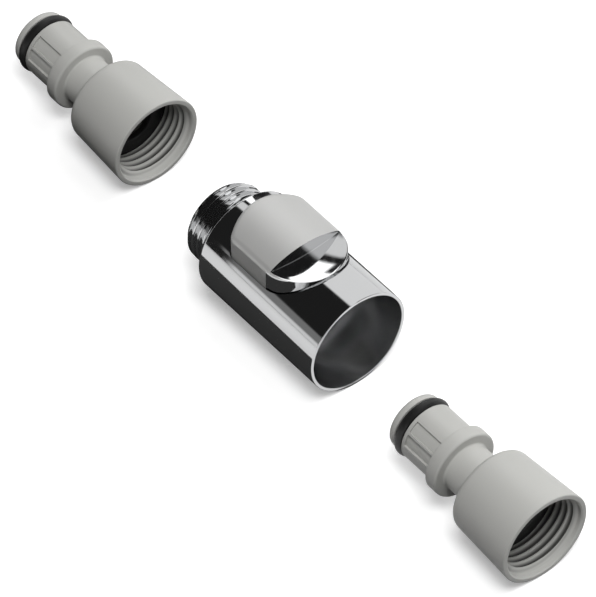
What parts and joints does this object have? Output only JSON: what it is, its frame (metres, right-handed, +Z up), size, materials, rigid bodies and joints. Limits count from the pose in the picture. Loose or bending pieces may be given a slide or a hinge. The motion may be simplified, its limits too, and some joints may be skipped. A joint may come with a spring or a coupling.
{
  "type": "quick coupling for a shower outlet",
  "caption": "Push-button quick coupling for a shower outlet: chromed socket with a sprung release button and a threaded spigot, between its grey plug nipples, taken apart in line.",
  "frame": {"origin": "on the floor that the pieces lie on, below the middle of the socket and of the whole row", "axes": "+X along the socket's axis, out of its open mouth; +Z up, through the release button"},
  "size_m": [0.193, 0.0322, 0.0302],
  "materials": {
    "polished_chrome": "mirror-polished chrome plating on brass",
    "satin_chrome": "satin chrome plating",
    "spring_steel": "bright stainless steel",
    "grey_plastic": "light grey moulded acetal, semi-gloss",
    "black_rubber": "black nitrile rubber"
  },
  "bodies": {
    "coupling": {"socket_body": "polished_chrome", "button_spring_left": "spring_steel", "button_spring_right": "spring_steel", "nipple_rear": "grey_plastic", "o_ring_rear": "black_rubber", "washer_rear": "black_rubber", "nipple_front": "grey_plastic", "o_ring_front": "black_rubber", "washer_front": "black_rubber"},
    "release": {"release_button": "satin_chrome", "latch_plate": "spring_steel"}
  },
  "joints": [
    {"name": "button_press", "type": "slide", "parent": "coupling", "child": "release", "axis": [0, 0, -1], "range_m": [0, 0.002], "stiffness_N_per_m": 2500, "springref_m": -0.002, "deforming": ["button_spring_left", "button_spring_right"]}
  ]
}
